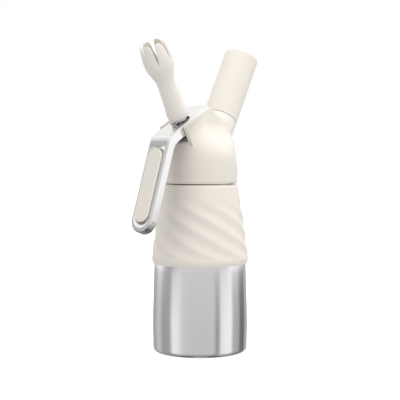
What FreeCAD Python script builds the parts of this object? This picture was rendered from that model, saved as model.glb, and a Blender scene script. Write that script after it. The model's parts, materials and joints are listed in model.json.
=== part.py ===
import FreeCAD, Part
import math
import os
import re

import Sketcher

# A whipped cream dispenser: a steel bottle with a fluted grip sleeve, and a moulded head with two arms.
# The origin is the centre of the bottle's foot, +Z is up, the nozzle leans to -X and the charger to +X.
# Lengths are millimetres and angles are degrees.

SIZES = {
    # Bottle, from its foot up
    "foot_radius": 36.2,
    "foot_inner_radius": 30.0,
    "foot_recess": 1.6,
    "foot_corner": 3.5,
    "belly_radius": 39.6,
    "belly_widest_radius": 40.0,
    "belly_widest_height": 26.0,
    "waist_radius": 38.5,
    "waist_height": 74.0,
    "shoulder_radius": 37.6,
    "shoulder_height": 86.0,
    "neck_radius": 24.0,
    "neck_base_height": 106.0,
    "mouth_height": 150.0,
    "bottle_wall": 1.0,
    "shoulder_fillet": 9.0,
    # Grip sleeve
    "sleeve_gap": 0.15,
    "sleeve_bottom": 74.2,
    "sleeve_top": 139.4,
    "sleeve_lip_radius": 39.5,
    "sleeve_bulge_radius": 40.6,
    "sleeve_bulge_height": 79.0,
    "sleeve_top_radius": 31.9,
    "flute_count": 9,
    "flute_depth": 0.62,
    "flute_twist_per_height": 2.67,
    "flute_phase": 224.5,
    # Head
    "seam_gap": 2.0,
    "head_radius": 31.2,
    "fork_height": 148.0,
    "nozzle_lean": 29.5,
    "charger_lean": 29.0,
    "arm_radius": 14.8,
    "arm_seam": 55.0,
    "cheek_half_width": 14.2,
    "rim_level": 52.0,
    "cheek_front": 10.5,
    "slot_half_width": 10.9,
    "slot_floor": 37.5,
    "slot_end": 27.8,
    "cavity_radius": 19.0,
    "cavity_top": 167.0,
    # Thread ring and gasket
    "thread_gap": 0.25,
    "ring_radius": 28.0,
    "ring_length": 8.5,
    "gasket_thickness": 2.4,
    "gasket_inner_radius": 20.5,
    "seat_gap": 0.15,
    # Lever
    "pivot_along": 20.0,
    "pivot_level": 45.5,
    "pin_radius": 2.0,
    "ear_radius": 6.4,
    "ear_run_out": 1.3,
    "running_gap": 0.05,
    "lever_width": 21.0,
    "lever_sheet": 1.4,
    "lever_depth": 8.0,
    "lever_bend": 28.5,
    "handle_turn": 41.2,
    "handle_length": 79.0,
    "plate_hole_radius": 8.5,
    "pad_width": 14.6,
    "pad_length": 61.5,
    "pad_start": 9.5,
    "pad_thickness": 2.0,
    "pad_recess": 0.7,
    "pad_gap": 0.35,
    "pad_rounding": 0.9,
    "bend_rounding": 3.5,
    "sheet_rounding": 1.6,
    # Valve, along the nozzle's axis
    "stem_radius": 4.05,
    "stem_bore": 2.6,
    "guide_radius": 8.4,
    "guide_neck_radius": 5.6,
    "guide_start": 16.5,
    "guide_end": 36.0,
    "spring_pocket_radius": 8.2,
    "spring_pocket_floor": 33.0,
    "collar_radius": 7.6,
    "collar_start": 44.5,
    "collar_thickness": 1.7,
    "wire_radius": 0.55,
    "spring_radius": 6.65,
    "spring_turns": 4,
    "seat_flange_radius": 6.0,
    "nozzle_start": 55.0,
    "stem_end": 64.0,
    "stem_thread_radius": 5.0,
    # Decorating nozzle
    "nozzle_base_radius": 8.3,
    "nozzle_neck_radius": 7.5,
    "nozzle_neck_at": 85.2,
    "nozzle_bulge_radius": 12.0,
    "nozzle_bulge_at": 104.5,
    "nozzle_tip_radius": 9.2,
    "nozzle_tip_at": 124.0,
    "nozzle_wall": 1.5,
    "nozzle_flare": 2.4,
    "nozzle_flare_length": 10.3,
    "waist_curve": 23.2,
    "swell_curve": 20.3,
    "petal_curve": 69.3,
    "notch_start": 103.8,
    "notch_width": 4.4,
    "petal_count": 6,
    "notch_turn": 42.0,
    # Charger arm
    "holder_end": 117.0,
    "holder_wall": 2.2,
    "charger_radius": 9.0,
    "charger_length": 65.0,
    "charger_neck_radius": 3.75,
    "charger_neck": 8.0,
    "charger_gap": 0.3,
    "inlet_radius": 8.0,
    "inlet_start": 24.0,
    "inlet_flange_radius": 12.6,
    "inlet_thread_radius": 11.3,
    "inlet_thread_end": 64.0,
}

doc = FreeCAD.newDocument("cream_dispenser")
sizes = doc.addObject("Spreadsheet::Sheet", "sizes")
for row, (name, value) in enumerate(SIZES.items(), 1):
    sizes.set(f"A{row}", name)
    sizes.set(f"B{row}", str(value))
    sizes.setAlias(f"B{row}", name)
doc.recompute()

PARTS = []


def bound(text):
    """An expression in which each size's name points at its cell of the sheet."""
    return re.sub(r"[a-z_]+", lambda word: "sizes." * (word.group() in SIZES) + word.group(), str(text))


def number(text):
    """What an expression comes to with the sheet's present values."""
    return float(sizes.evalExpression(bound(text)))


def new_body(label, lean="0", height="0", kept=True):
    """A body whose own +Z is an arm's axis, leaned over in the XZ plane; only a kept one is written out."""
    body = doc.addObject("PartDesign::Body", label)
    body.Label = label
    body.Placement = FreeCAD.Placement(
        FreeCAD.Vector(0, 0, number(height)), FreeCAD.Rotation(FreeCAD.Vector(0, 1, 0), number(lean))
    )
    body.setExpression("Placement.Base.z", bound(height))
    if kept:
        PARTS.append(body)
    return body


def nozzle_body(label, kept=True):
    """A body on the nozzle's axis."""
    return new_body(label, "-nozzle_lean", "fork_height", kept)


def charger_body(label):
    """A body on the charger's axis."""
    return new_body(label, "charger_lean", "fork_height")


def sketch_on(body, name, plane="XZ_Plane", offset=(0, 0, 0), lean=0.0):
    """A sketch on one of the body's own planes, shifted and, in the XZ plane, leaned over."""
    sketch = body.newObject("Sketcher::SketchObject", name)
    support = next(f for f in body.Origin.OriginFeatures if f.Role == plane)
    sketch.AttachmentSupport = (support, [""])
    sketch.MapMode = "FlatFace"
    sketch.AttachmentOffset = FreeCAD.Placement(
        FreeCAD.Vector(*offset), FreeCAD.Rotation(FreeCAD.Vector(0, 0, 1), -lean)
    )
    return sketch


def arc_centre(start, end, radius, turn):
    """The centre of the shorter arc between two points; turn is 1 anticlockwise and -1 clockwise."""
    dx, dy = end[0] - start[0], end[1] - start[1]
    chord = math.hypot(dx, dy)
    rise = math.sqrt(max(radius**2 - chord**2 / 4, 0.0))
    middle = ((start[0] + end[0]) / 2, (start[1] + end[1]) / 2)
    return FreeCAD.Vector(middle[0] - turn * dy / chord * rise, middle[1] + turn * dx / chord * rise, 0)


def draw(sketch, steps):
    """A closed outline. A step is (x, y), or (x, y, radius, turn) for an arc that ends there."""
    points = [(number(step[0]), number(step[1])) for step in steps]
    first = sketch.GeometryCount
    ends = []
    for at, step in enumerate(steps):
        start, end = points[at - 1], points[at]
        if len(step) == 2:
            edge = Part.LineSegment(FreeCAD.Vector(*start, 0), FreeCAD.Vector(*end, 0))
            ends.append((1, 2))
        else:
            radius, turn = number(step[2]), step[3]
            centre = arc_centre(start, end, radius, turn)
            circle = Part.Circle(centre, FreeCAD.Vector(0, 0, 1), radius)
            low, high = (start, end) if turn > 0 else (end, start)
            angles = [math.atan2(p[1] - centre.y, p[0] - centre.x) for p in (low, high)]
            if angles[1] < angles[0]:
                angles[1] += 2 * math.pi
            edge = Part.ArcOfCircle(circle, *angles)
            ends.append((1, 2) if turn > 0 else (2, 1))
        sketch.addGeometry(edge)
    count = len(steps)
    for at, step in enumerate(steps):
        after = (at + 1) % count
        sketch.addConstraint(
            Sketcher.Constraint("Coincident", first + at, ends[at][1], first + after, ends[after][0])
        )
        for kind, value, text in zip(("DistanceX", "DistanceY"), points[at], step):
            fixed = Sketcher.Constraint(kind, -1, 1, first + at, ends[at][1], value)
            sketch.setExpression(f"Constraints[{sketch.addConstraint(fixed)}]", bound(text))
        if len(step) > 2:
            bent = Sketcher.Constraint("Radius", first + at, number(step[2]))
            sketch.setExpression(f"Constraints[{sketch.addConstraint(bent)}]", bound(step[2]))
    return sketch


def draw_circle(sketch, x, y, radius):
    """A circle whose centre and radius come from expressions."""
    circle = Part.Circle(FreeCAD.Vector(number(x), number(y), 0), FreeCAD.Vector(0, 0, 1), number(radius))
    at = sketch.addGeometry(circle)
    for kind, text in (("DistanceX", x), ("DistanceY", y)):
        fixed = Sketcher.Constraint(kind, -1, 1, at, 3, number(text))
        sketch.setExpression(f"Constraints[{sketch.addConstraint(fixed)}]", bound(text))
    size = sketch.addConstraint(Sketcher.Constraint("Radius", at, number(radius)))
    sketch.setExpression(f"Constraints[{size}]", bound(radius))
    return sketch


def turned(body, kind, name, steps, lean=0.0, base=0.0):
    """A Revolution or Groove of an outline round the sketch's upright axis."""
    sketch = draw(sketch_on(body, name + "_outline", offset=(0, base, 0), lean=lean), steps)
    feature = body.newObject("PartDesign::" + kind, name)
    feature.Profile = sketch
    feature.ReferenceAxis = (sketch, ["V_Axis"])
    feature.Angle = 360
    sketch.Visibility = False
    doc.recompute()
    return feature


def through(body, kind, name, sketch, length):
    """A Pad or Pocket that reaches equally to both sides of its sketch."""
    feature = body.newObject("PartDesign::" + kind, name)
    feature.Profile = sketch
    feature.SideType = "Symmetric"
    feature.setExpression("Length", bound(length))
    doc.recompute()
    return feature


def rounded(body, name, radius, chosen):
    """A fillet on the edges of the tip feature that the test picks."""
    tip = body.Tip
    names = [f"Edge{at}" for at, edge in enumerate(tip.Shape.Edges, 1) if chosen(edge)]
    feature = body.newObject("PartDesign::Fillet", name)
    feature.Base = (tip, names)
    feature.setExpression("Radius", bound(radius))
    doc.recompute()
    return feature


def ring(body, name, inner, outer, start, end):
    """A plain ring round the body's axis."""
    steps = [(inner, start), (outer, start), (outer, end), (inner, end)]
    return turned(body, "Revolution", name, steps)


# Bottle: a turned blank, rounded at the shoulder and hollowed from the mouth
bottle = new_body("bottle")
turned(
    bottle,
    "Revolution",
    "bottle_blank",
    [
        ("0", "foot_recess"),
        ("foot_inner_radius - foot_recess", "foot_recess"),
        ("foot_inner_radius", "0"),
        ("foot_radius", "0"),
        ("belly_radius", "foot_corner", "foot_corner", 1),
        ("belly_widest_radius", "belly_widest_height"),
        ("waist_radius", "waist_height"),
        ("shoulder_radius", "shoulder_height"),
        ("neck_radius", "neck_base_height"),
        ("neck_radius", "mouth_height"),
        ("0", "mouth_height"),
    ],
)
doc.recompute()
bend_heights = (number("shoulder_height"), number("neck_base_height"))
rounded(
    bottle,
    "shoulder_rounding",
    "shoulder_fillet",
    lambda edge: isinstance(edge.Curve, Part.Circle)
    and min(abs(edge.Curve.Center.z - height) for height in bend_heights) < 0.01,
)
hollow = bottle.newObject("PartDesign::Thickness", "bottle_hollow")
blank = bottle.Tip if bottle.Tip is not hollow else bottle.Group[-2]
mouth = max(range(len(blank.Shape.Faces)), key=lambda at: blank.Shape.Faces[at].CenterOfMass.z)
hollow.Base = (blank, [f"Face{mouth + 1}"])
hollow.Reversed = True
hollow.Mode = 0
hollow.Join = 0
hollow.setExpression("Value", bound("bottle_wall"))
doc.recompute()

# Grip sleeve: a twisted fluted skin, bored to sit on the bottle's shoulder


def sleeve_radius(height):
    """The sleeve's mean radius: a rounded lip, then a nearly straight taper to its top edge."""
    bottom, bulge, top = (number(n) for n in ("sleeve_bottom", "sleeve_bulge_height", "sleeve_top"))
    lip, widest, narrow = (
        number(n) for n in ("sleeve_lip_radius", "sleeve_bulge_radius", "sleeve_top_radius")
    )
    if height < bulge:
        share = (bulge - height) / (bulge - bottom)
        return widest - (widest - lip) * share**2.4
    share = (height - bulge) / (top - bulge)
    return widest - (widest - narrow) * (0.12 * share**2 + 0.88 * share)


def flute_strength(height):
    """Flutes fade in above the lip and out below the top edge."""
    bottom, top = number("sleeve_bottom"), number("sleeve_top")
    rise = min(max((height - bottom - 3.0) / 9.0, 0.0), 1.0)
    fall = min(max((top - 4.0 - height) / 14.0, 0.0), 1.0)
    return (rise * rise * (3 - 2 * rise)) * (fall * fall * (3 - 2 * fall))


def sleeve_row(height):
    """Points round the fluted skin at one height. Their start turns with the flutes."""
    flutes = int(number("flute_count"))
    samples = flutes * 5
    start = math.radians(number("flute_phase") - number("flute_twist_per_height") * (height - 107.0))
    depth = number("flute_depth") * flute_strength(height)
    points = []
    for step in range(samples + 1):
        around = 2 * math.pi * (step % samples) / samples
        radius = sleeve_radius(height) - depth * math.cos(flutes * around)
        angle = start + around
        points.append(FreeCAD.Vector(radius * math.cos(angle), radius * math.sin(angle), height))
    return points


def closed_skin(rows):
    """A solid from rings of points: one smooth surface with a flat face at each end."""
    surface = Part.BSplineSurface()
    surface.interpolate(rows)
    side = surface.toShape()
    ends = []
    for row in (rows[0], rows[-1]):
        level = row[0].z
        rim = [edge for edge in side.Edges if all(abs(v.Z - level) < 1e-6 for v in edge.Vertexes)]
        rim = [edge for edge in rim if abs(edge.CenterOfMass.z - level) < 1e-3]
        ends.append(Part.Face(Part.Wire(rim)))
    shell_of_faces = Part.makeShell([side] + ends)
    shell_of_faces.sewShape()
    body = Part.makeSolid(shell_of_faces)
    if body.Volume < 0:
        body.reverse()
    return body


sleeve_bottom, sleeve_top = number("sleeve_bottom"), number("sleeve_top")
levels = [0.0, 0.025, 0.06, 0.11] + [0.18 + 0.082 * step for step in range(11)]
rows = [sleeve_row(sleeve_bottom + (sleeve_top - sleeve_bottom) * level) for level in levels]
skin = doc.addObject("Part::Feature", "sleeve_skin")
skin.Shape = closed_skin(rows)
seat = new_body("sleeve_seat", kept=False)
turned(
    seat,
    "Revolution",
    "seat_blank",
    [
        ("0", "waist_height - 5"),
        ("waist_radius + sleeve_gap + 0.1", "waist_height - 5"),
        ("waist_radius + sleeve_gap", "waist_height"),
        ("shoulder_radius + sleeve_gap", "shoulder_height"),
        ("neck_radius + sleeve_gap + 0.4", "neck_base_height + 0.4"),
        ("neck_radius + sleeve_gap", "sleeve_top + 5"),
        ("0", "sleeve_top + 5"),
    ],
)
sleeve = doc.addObject("Part::Cut", "sleeve")
sleeve.Label = "sleeve"
sleeve.Base = skin
sleeve.Tool = seat
PARTS.append(sleeve)
doc.recompute()

# Head shell: a lofted shoulder that narrows to two arms, then the lever's slot, the cavity and the bores
shell = new_body("head_shell")
turned(
    shell,
    "Revolution",
    "head_skirt",
    [
        ("0", "sleeve_top + seam_gap"),
        ("head_radius - 0.8", "sleeve_top + seam_gap"),
        ("head_radius", "sleeve_top + seam_gap + 0.8"),
        ("head_radius - 0.2", "mouth_height"),
        ("0", "mouth_height"),
    ],
)
SHOULDER = [
    ("mouth_height - 2", "head_radius - 0.1", "head_radius - 0.1", "head_radius - 0.1", "head_radius - 0.3"),
    ("mouth_height + 12", "head_radius - 1.0", "head_radius - 1.0", "head_radius - 1.2", "head_radius - 1.5"),
    ("mouth_height + 20", "head_radius - 1.6", "head_radius - 1.4", "head_radius - 3.6", "head_radius - 4.2"),
    ("mouth_height + 27", "head_radius - 2.7", "head_radius - 1.0", "head_radius - 8.4", "head_radius - 9.2"),
    ("mouth_height + 34", "head_radius - 4.7", "head_radius - 2.7", "head_radius - 13.8", "head_radius - 14.6"),
    ("mouth_height + 42", "head_radius - 9.2", "head_radius - 7.2", "head_radius - 17.1", "head_radius - 17.6"),
]
sections = []
for level, (height, front, rear, side, corner) in enumerate(SHOULDER):
    section = sketch_on(shell, f"shoulder_section_{level}", "XY_Plane", (0, 0, number(height)))
    section.setExpression("AttachmentOffset.Base.z", bound(height))
    flat = f"({side}) - ({corner})"
    draw(
        section,
        [
            (f"({rear}) - ({corner})", f"-({side})"),
            (rear, f"-({flat})", corner, 1),
            (rear, flat),
            (f"({rear}) - ({corner})", side, corner, 1),
            (f"-({front}) + ({corner})", side),
            (f"-({front})", flat, corner, 1),
            (f"-({front})", f"-({flat})"),
            (f"-({front}) + ({corner})", f"-({side})", corner, 1),
        ],
    )
    sections.append(section)
doc.recompute()
shoulder = shell.newObject("PartDesign::AdditiveLoft", "head_shoulder")
shoulder.Profile = sections[0]
shoulder.Sections = sections[1:]
shoulder.Ruled = False
doc.recompute()

fork = number("fork_height")
arm = [
    ("0", "20"),
    ("arm_radius", "20"),
    ("arm_radius", "arm_seam - 0.4"),
    ("arm_radius - 0.4", "arm_seam"),
    ("0", "arm_seam"),
]


def arm_sketch(body, name, lean):
    """A sketch in the XZ plane whose origin is where the two arms' axes meet, leaned with one arm."""
    return sketch_on(body, name, offset=(0, fork, 0), lean=lean)


nozzle_lean, charger_lean = number("nozzle_lean"), number("charger_lean")
turned(shell, "Revolution", "charger_arm", arm, lean=charger_lean, base=fork)
block = draw(
    arm_sketch(shell, "cheek_outline", -nozzle_lean),
    [
        ("-cheek_front", "20"),
        ("pivot_along", "10"),
        ("pivot_along + 17", "26"),
        (
            "pivot_along + 6.5 * cos(31.5) + 9",
            "pivot_level + 6.5 * sin(31.5) - 9 / tan(31.5)",
        ),
        ("pivot_along + (rim_level - pivot_level) * cos(31.5)", "pivot_level + (rim_level - pivot_level) * sin(31.5)"),
        ("pivot_along", "rim_level", "rim_level - pivot_level", 1),
        ("-cheek_front", "rim_level"),
    ],
)
through(shell, "Pad", "cheek_block", block, "2 * cheek_half_width")


def on_rim(edge):
    """The long outer edges of the cheeks, at the rim and round the pivot end."""
    if abs(abs(edge.CenterOfMass.y) - number("cheek_half_width")) > 0.01:
        return False
    x, z = edge.CenterOfMass.x, edge.CenterOfMass.z - fork
    turn = math.radians(nozzle_lean)
    level = -x * math.sin(turn) + z * math.cos(turn)
    return level > number("rim_level") - 3 and edge.Length > 3


rounded(shell, "rim_rounding", "1.1", on_rim)

slot = draw(
    arm_sketch(shell, "slot_outline", -nozzle_lean),
    [
        ("-cheek_front - 30", "slot_floor"),
        ("slot_end", "slot_floor"),
        ("slot_end", "rim_level + 8"),
        ("-cheek_front - 30", "rim_level + 8"),
    ],
)
through(shell, "Pocket", "lever_slot", slot, "2 * slot_half_width")
turned(
    shell,
    "Groove",
    "head_cavity",
    [
        ("0", "sleeve_top"),
        ("ring_radius", "sleeve_top"),
        ("ring_radius", "sleeve_top + seam_gap + 0.6 + ring_length"),
        ("neck_radius + seat_gap + 0.1", "sleeve_top + seam_gap + 0.6 + ring_length"),
        ("neck_radius + seat_gap + 0.1", "mouth_height + gasket_thickness + 2 * seat_gap"),
        ("cavity_radius", "mouth_height + gasket_thickness + 2 * seat_gap"),
        ("cavity_radius", "cavity_top - 6"),
        ("cavity_radius - 6", "cavity_top", "6", 1),
        ("0", "cavity_top"),
    ],
)
turned(
    shell,
    "Groove",
    "outlet_bore",
    [
        ("0", "guide_start - 8"),
        ("guide_radius + 1.4", "guide_start - 8"),
        ("guide_radius + 1.4", "guide_start + 2"),
        ("guide_radius", "guide_start + 2"),
        ("guide_radius", "spring_pocket_floor"),
        ("spring_pocket_radius", "spring_pocket_floor"),
        ("spring_pocket_radius", "slot_floor + 5"),
        ("0", "slot_floor + 5"),
    ],
    lean=-nozzle_lean,
    base=fork,
)
turned(
    shell,
    "Groove",
    "inlet_bore",
    [
        ("0", "inlet_start - 8"),
        ("inlet_radius", "inlet_start - 8"),
        ("inlet_radius", "arm_seam - 3"),
        ("inlet_flange_radius", "arm_seam - 3"),
        ("inlet_flange_radius", "arm_seam + 3"),
        ("0", "arm_seam + 3"),
    ],
    lean=charger_lean,
    base=fork,
)
pin_hole = arm_sketch(shell, "pin_hole_outline", -nozzle_lean)
draw_circle(pin_hole, "pivot_along", "pivot_level", "pin_radius")
through(shell, "Pocket", "pin_hole", pin_hole, "2 * cheek_half_width - 2.4")

# Threaded ring, gasket and other pieces round the bottle's mouth
thread_ring = new_body("thread_ring")
ring(
    thread_ring,
    "ring_blank",
    "neck_radius + thread_gap",
    "ring_radius",
    "sleeve_top + seam_gap + 0.6",
    "sleeve_top + seam_gap + 0.6 + ring_length",
)
head_gasket = new_body("head_gasket")
ring(
    head_gasket,
    "gasket_blank",
    "gasket_inner_radius",
    "neck_radius",
    "mouth_height + seat_gap",
    "mouth_height + seat_gap + gasket_thickness",
)

# Lever: a sheet channel made as an outer bar less a smaller inner bar


def handle_point(along, below):
    """Expressions for a point along the handle's face from the bend and below that face."""
    x = f"-lever_bend - ({along}) * cos(handle_turn) + ({below}) * sin(handle_turn)"
    y = f"rim_level - ({along}) * sin(handle_turn) - ({below}) * cos(handle_turn)"
    return x, y


def handle_level(edge, level):
    """Whether an edge lies wholly at a level above the handle's face."""
    turn = math.radians(number("handle_turn"))
    for vertex in edge.Vertexes:
        rise = (vertex.Z - number("rim_level")) * math.cos(turn)
        rise -= (vertex.X + number("lever_bend")) * math.sin(turn)
        if abs(rise - number(level)) > 0.02:
            return False
    return True


def lever_bar(name, inset):
    """A solid bar with the lever's side view, a round tip and rounded face edges, inset all round."""
    body = nozzle_body(name, kept=False)
    outer = name == "lever_outer"
    floor = "lever_depth" if outer else "lever_depth + 20"
    side = sketch_on(body, name + "_side")
    face = f"rim_level - {inset}"
    half = "tan(handle_turn / 2)"
    bottom = f"rim_level - ({floor})"
    steps = [
        (f"-lever_bend + ({inset}) * {half}", face),
        handle_point(f"handle_length - ({inset})", inset),
        handle_point(f"handle_length - ({inset})", floor),
        (f"-lever_bend + ({floor}) * {half}", bottom),
    ]
    end = "pivot_along + ear_radius"
    if outer:
        steps += [
            ("pivot_along - ear_radius - ear_run_out", bottom),
            ("pivot_along - ear_radius * cos(45)", "pivot_level - ear_radius * sin(45)"),
            ("pivot_along", "pivot_level - ear_radius", "ear_radius", 1),
            (end, "pivot_level", "ear_radius", 1),
            (end, face),
        ]
    else:
        steps += [("pivot_along + 20", bottom), ("pivot_along + 20", face)]
    draw(side, steps)
    through(body, "Pad", name + "_bar", side, f"lever_width - 2 * ({inset})")
    tip = FreeCAD.Vector(*(number(v) for v in handle_point("handle_length", "0")), 0)
    handle_turn = math.radians(number("handle_turn"))
    turn = FreeCAD.Vector(-math.cos(handle_turn), -math.sin(handle_turn), 0)

    def at_bend(edge):
        """The edge across the outer face where the plate turns down into the handle."""
        ends = [vertex.Point for vertex in edge.Vertexes]
        return (
            len(ends) == 2
            and abs(ends[0].y - ends[1].y) > 1
            and abs(edge.CenterOfMass.z - number(face)) < 0.01
            and abs(edge.CenterOfMass.x + number("lever_bend")) < 2
        )

    def at_tip(edge):
        """The two edges that run through the sheet at the tip."""
        ends = [vertex.Point for vertex in edge.Vertexes]
        if len(ends) < 2 or abs(ends[0].y - ends[1].y) > 0.01:
            return False
        reach = [(FreeCAD.Vector(p.x, p.z, 0) - tip).dot(turn) for p in ends]
        return min(reach) > -number(inset) - 0.1

    def on_face(edge):
        """The long edges between the outer face and the flanges, with the tip's round edge."""
        if abs(edge.CenterOfMass.y) < 1 or abs(edge.Vertexes[0].Y - edge.Vertexes[-1].Y) > 18:
            return False
        on_plate = all(abs(vertex.Z - number(face)) < 0.02 for vertex in edge.Vertexes)
        on_handle = handle_level(edge, f"-({inset})")
        between = abs(edge.CenterOfMass.x + number("lever_bend")) < 4 and edge.Length < 4
        between = between and edge.CenterOfMass.z > number(face) - 2
        return on_plate or on_handle or between

    rounded(body, name + "_bend", f"bend_rounding - ({inset})", at_bend)
    rounded(body, name + "_tip", f"lever_width / 2 - ({inset}) - 0.05", at_tip)
    if outer:
        rounded(body, name + "_face", "sheet_rounding", on_face)
    return body


outer_bar = lever_bar("lever_outer", "0")
inner_bar = lever_bar("lever_inner", "lever_sheet")


def solid_less(feature_name, base, tool):
    """One solid less another."""
    cut = doc.addObject("Part::Cut", feature_name)
    cut.Base = base
    cut.Tool = tool
    doc.recompute()
    return cut


channel = solid_less("lever_channel", outer_bar, inner_bar)
openings = nozzle_body("lever_openings", kept=False)
plate_hole = sketch_on(openings, "plate_hole_outline", "XY_Plane", (0, 0, number("rim_level")))
plate_hole.setExpression("AttachmentOffset.Base.z", bound("rim_level"))
draw_circle(plate_hole, "0", "0", "plate_hole_radius")
through(openings, "Pad", "plate_hole", plate_hole, "4 * lever_sheet")
ear_hole = draw_circle(
    sketch_on(openings, "ear_hole_outline"), "pivot_along", "pivot_level", "pin_radius + running_gap"
)
through(openings, "Pad", "ear_hole", ear_hole, "lever_width + 2")


def stadium(body, name, growth, deep, top):
    """A round-ended plate on the handle's face, between two depths below that face."""
    centre = "pad_start + pad_length / 2"
    x, y = (number(text) for text in handle_point(centre, deep))
    sketch = sketch_on(body, name + "_outline", "XY_Plane")
    turn = FreeCAD.Rotation(FreeCAD.Vector(0, 1, 0), -SIZES["handle_turn"])
    sketch.AttachmentOffset = FreeCAD.Placement(FreeCAD.Vector(x, 0, y), turn)
    sketch.setExpression("AttachmentOffset.Base.x", bound(handle_point(centre, deep)[0]))
    sketch.setExpression("AttachmentOffset.Base.z", bound(handle_point(centre, deep)[1]))
    half = f"(pad_width / 2 + {growth})"
    straight = "(pad_length / 2 - pad_width / 2)"
    draw(
        sketch,
        [
            (straight, f"-{half}"),
            (f"{straight} + {half}", "0", half, 1),
            (straight, half, half, 1),
            (f"-{straight}", half),
            (f"-{straight} - {half}", "0", half, 1),
            (f"-{straight}", f"-{half}", half, 1),
        ],
    )
    pad = body.newObject("PartDesign::Pad", name)
    pad.Profile = sketch
    pad.setExpression("Length", bound(f"({deep}) - ({top})"))
    doc.recompute()
    return pad


stadium(openings, "pad_recess_cut", "pad_gap", "pad_recess", "-1")
lever_frame = solid_less("lever_frame", channel, openings)
lever_frame.Label = "lever_frame"
PARTS.append(lever_frame)

lever_pad = nozzle_body("lever_pad")
stadium(lever_pad, "pad_plate", "0", "pad_recess", "pad_recess - pad_thickness")
rounded(lever_pad, "pad_edge", "pad_rounding", lambda edge: handle_level(edge, "pad_thickness - pad_recess"))

# Yoke: a bridge between the lever's flanges whose two ridges press on the valve's collar
yoke = nozzle_body("lever_yoke")
inside = "(lever_width / 2 - lever_sheet)"
yoke_plan = sketch_on(yoke, "yoke_plan", "XY_Plane", (0, 0, number("pivot_level + 2.4")))
yoke_plan.setExpression("AttachmentOffset.Base.z", bound("pivot_level + 2.4"))
draw(
    yoke_plan,
    [
        ("-10.5", f"-{inside}"),
        ("8", f"-{inside}"),
        ("8", "-stem_radius - 0.7"),
        ("0", "-stem_radius - 0.7"),
        ("-stem_radius - 0.7", "0", "stem_radius + 0.7", -1),
        ("0", "stem_radius + 0.7", "stem_radius + 0.7", -1),
        ("8", "stem_radius + 0.7"),
        ("8", inside),
        ("-10.5", inside),
    ],
)
yoke_plate = yoke.newObject("PartDesign::Pad", "yoke_plate")
yoke_plate.Profile = yoke_plan
yoke_plate.setExpression("Length", "1.5")
doc.recompute()
for hand, side in (("near", -1), ("far", 1)):
    ridge = sketch_on(yoke, f"ridge_{hand}_outline", "XZ_Plane", (0, 0, -side * number("stem_radius + 2.7")))
    ridge.setExpression("AttachmentOffset.Base.z", bound(f"{-side} * (stem_radius + 2.7)"))
    draw(
        ridge,
        [
            ("-1.5", "pivot_level + 2.6"),
            ("-1.5", "pivot_level + 1.95"),
            ("1.5", "pivot_level + 1.95", "1.6", 1),
            ("1.5", "pivot_level + 2.6"),
        ],
    )
    through(yoke, "Pad", f"ridge_{hand}", ridge, "3.4")

pivot_pin = nozzle_body("pivot_pin")
pin_outline = draw_circle(
    sketch_on(pivot_pin, "pin_outline"), "pivot_along", "pivot_level", "pin_radius - 0.005"
)
through(pivot_pin, "Pad", "pin_rod", pin_outline, "2 * cheek_half_width - 2.6")

# Valve: guide bush in the head, then the sliding stem with its seals, collar and spring
valve_guide = nozzle_body("valve_guide")
turned(
    valve_guide,
    "Revolution",
    "guide_blank",
    [
        ("stem_radius + running_gap", "guide_start"),
        ("stem_radius + 2.2", "guide_start"),
        ("stem_radius + 2.8", "guide_start + 0.6"),
        ("guide_radius + 1.2", "guide_start + 0.6"),
        ("guide_radius + 1.2", "guide_start + 1.9"),
        ("guide_radius - 0.1", "guide_start + 1.9"),
        ("guide_radius - 0.1", "spring_pocket_floor - 0.1"),
        ("guide_neck_radius", "spring_pocket_floor - 0.1"),
        ("guide_neck_radius", "guide_end - 0.5"),
        ("guide_neck_radius - 0.5", "guide_end"),
        ("stem_radius + running_gap", "guide_end"),
    ],
)
spring_seat = nozzle_body("spring_seat")
ring(
    spring_seat,
    "spring_seat_blank",
    "guide_neck_radius + 0.15",
    "spring_pocket_radius - 0.3",
    "spring_pocket_floor + 0.02",
    "spring_pocket_floor + 0.62",
)
poppet = "guide_start - 2.3"
valve_stem = nozzle_body("valve_stem")
turned(
    valve_stem,
    "Revolution",
    "stem_blank",
    [
        ("0", f"{poppet} - 1.8"),
        ("6.4", f"{poppet} - 1.8"),
        ("7.2", f"{poppet} - 1"),
        ("7.2", poppet),
        ("stem_radius - 0.6", poppet),
        ("stem_radius - 0.6", "guide_start + 0.4"),
        ("stem_radius", "guide_start + 1"),
        ("stem_radius", "guide_end - 7.4"),
        ("stem_radius - 0.95", "guide_end - 7.4"),
        ("stem_radius - 0.95", "guide_end - 6.1"),
        ("stem_radius", "guide_end - 6.1"),
        ("stem_radius", "nozzle_start - 2.4"),
        ("seat_flange_radius", "nozzle_start - 2.4"),
        ("seat_flange_radius", "nozzle_start - 0.9"),
        ("stem_thread_radius", "nozzle_start - 0.9"),
        ("stem_thread_radius", "stem_end - 0.6"),
        ("stem_thread_radius - 0.6", "stem_end"),
        ("0", "stem_end"),
    ],
)
turned(
    valve_stem,
    "Groove",
    "stem_bore_cut",
    [
        ("0", "guide_start + 0.8"),
        ("stem_bore", "guide_start + 0.8"),
        ("stem_bore", "stem_end + 1"),
        ("0", "stem_end + 1"),
    ],
)
port = draw_circle(sketch_on(valve_stem, "port_outline"), "0", "guide_start + 2.6", "1.4")
through(valve_stem, "Pocket", "cream_port", port, "4 * stem_radius")
poppet_seal = nozzle_body("poppet_seal")
ring(poppet_seal, "seal_blank", "stem_radius - 0.5", "7", f"{poppet} + 0.05", "guide_start - 0.1")
stem_ring = nozzle_body("stem_o_ring")
ring_outline = sketch_on(stem_ring, "o_ring_outline")
draw_circle(ring_outline, "stem_radius - 0.45", "guide_end - 6.75", "0.44")
ring_turn = stem_ring.newObject("PartDesign::Revolution", "o_ring_turn")
ring_turn.Profile = ring_outline
ring_turn.ReferenceAxis = (ring_outline, ["V_Axis"])
ring_turn.Angle = 360
collar = nozzle_body("push_collar")
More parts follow.
